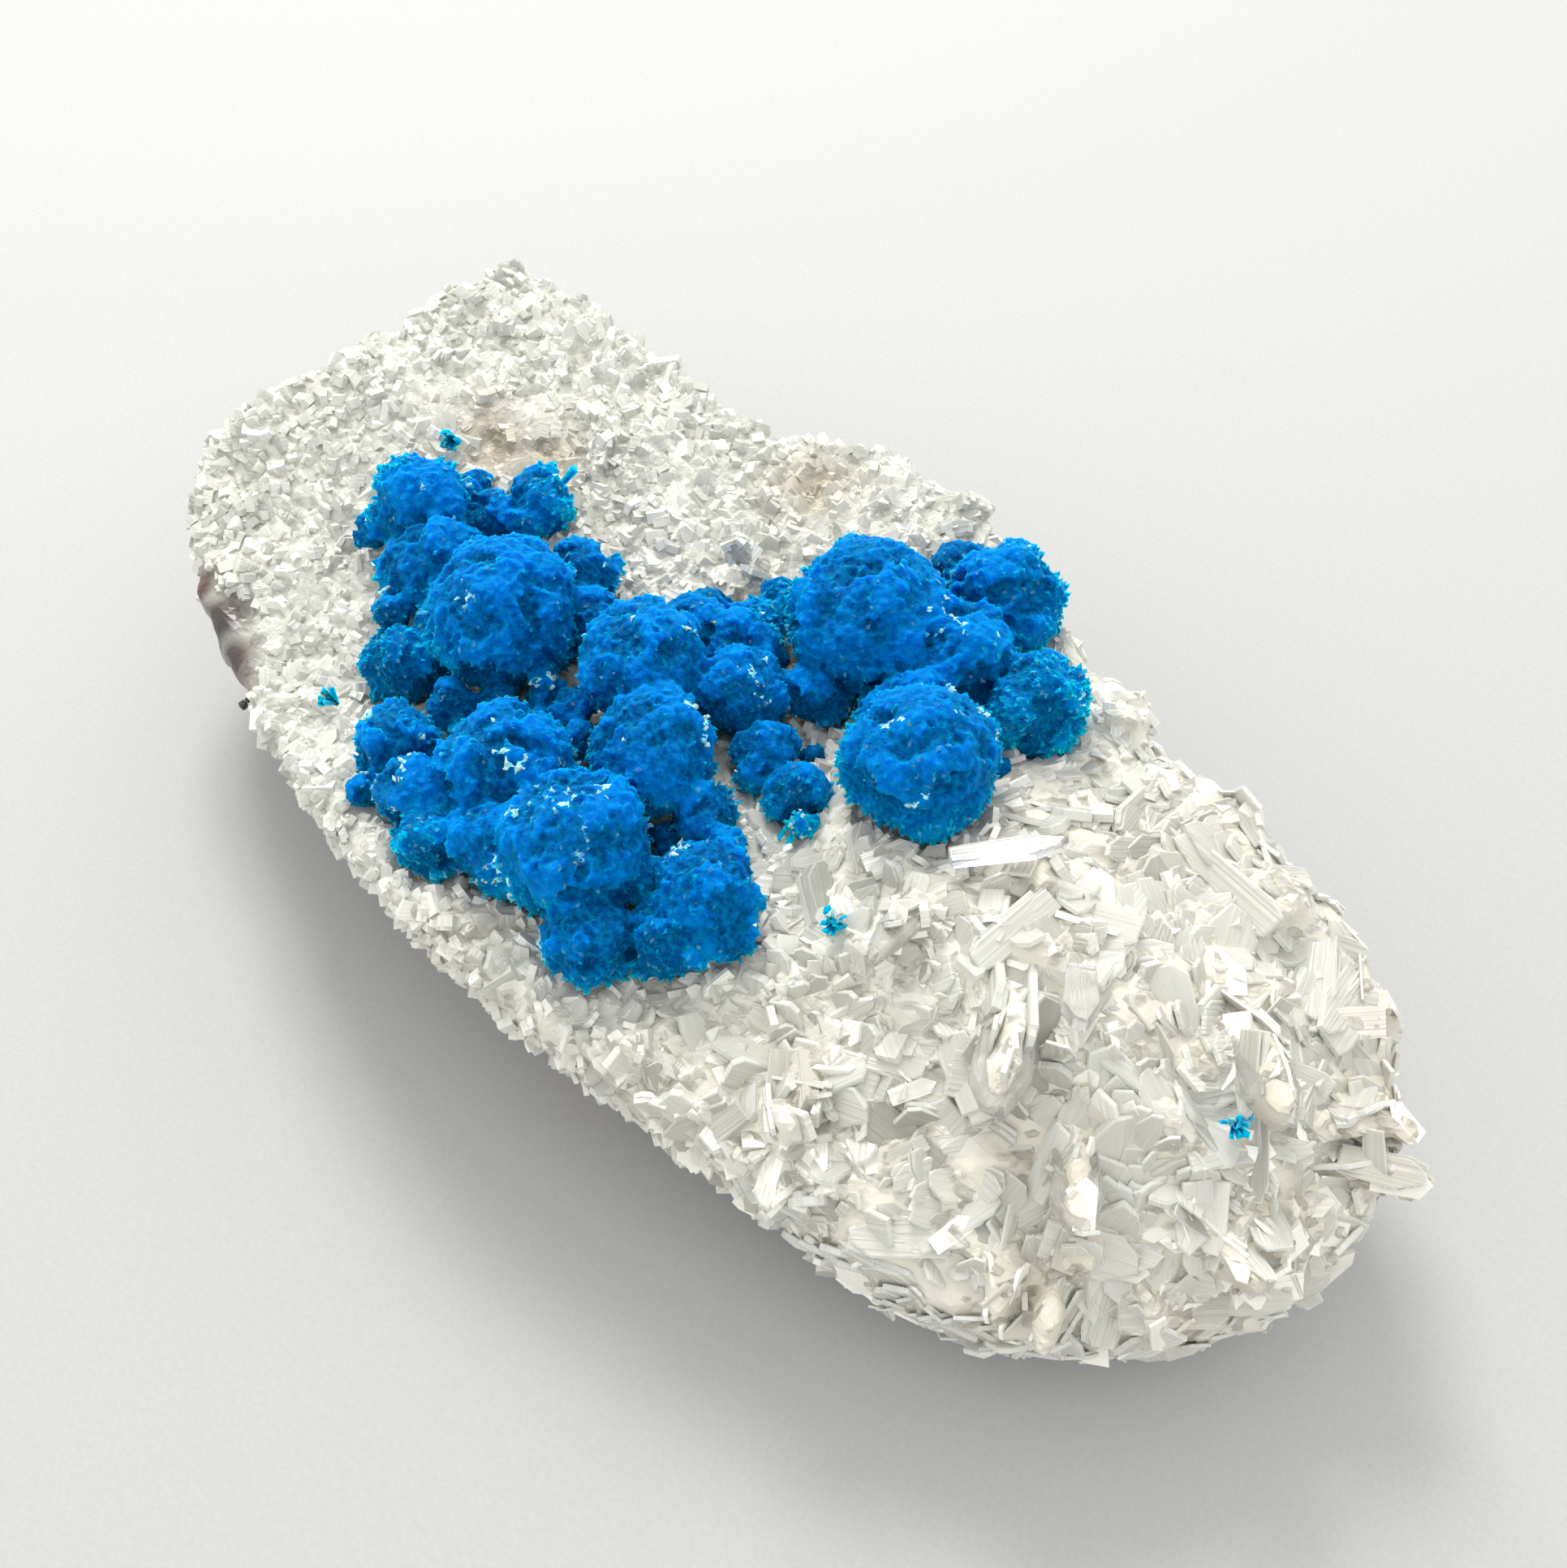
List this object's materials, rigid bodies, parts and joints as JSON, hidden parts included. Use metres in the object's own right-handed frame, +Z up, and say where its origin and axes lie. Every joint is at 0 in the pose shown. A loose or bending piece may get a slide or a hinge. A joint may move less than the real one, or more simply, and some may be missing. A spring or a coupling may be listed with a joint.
{
  "type": "cavansite specimen",
  "caption": "Natural mineral specimen: blue cavansite rosettes in the hollow of a slab of basalt crusted with pale stilbite blades, resting flat.",
  "frame": {"origin": "on the resting surface, under the middle of the specimen's outline", "axes": "+X along the slab's length towards the end with the large stilbite blades, +Y towards the back rim, +Z up out of the crystal face"},
  "size_m": [0.1149, 0.0568, 0.0339],
  "materials": {
    "basalt": "matte",
    "stilbite": "satin",
    "cavansite": "satin"
  },
  "bodies": {
    "root": {"basalt_matrix": "basalt", "stilbite_crust": "stilbite", "cavansite_rosettes_left": "cavansite", "cavansite_rosettes_front": "cavansite", "cavansite_rosettes_middle": "cavansite", "cavansite_rosettes_right": "cavansite", "cavansite_spray_behind": "cavansite", "cavansite_spray_front": "cavansite", "cavansite_spray_mound": "cavansite", "cavansite_spray_right_end": "cavansite"}
  },
  "joints": []
}
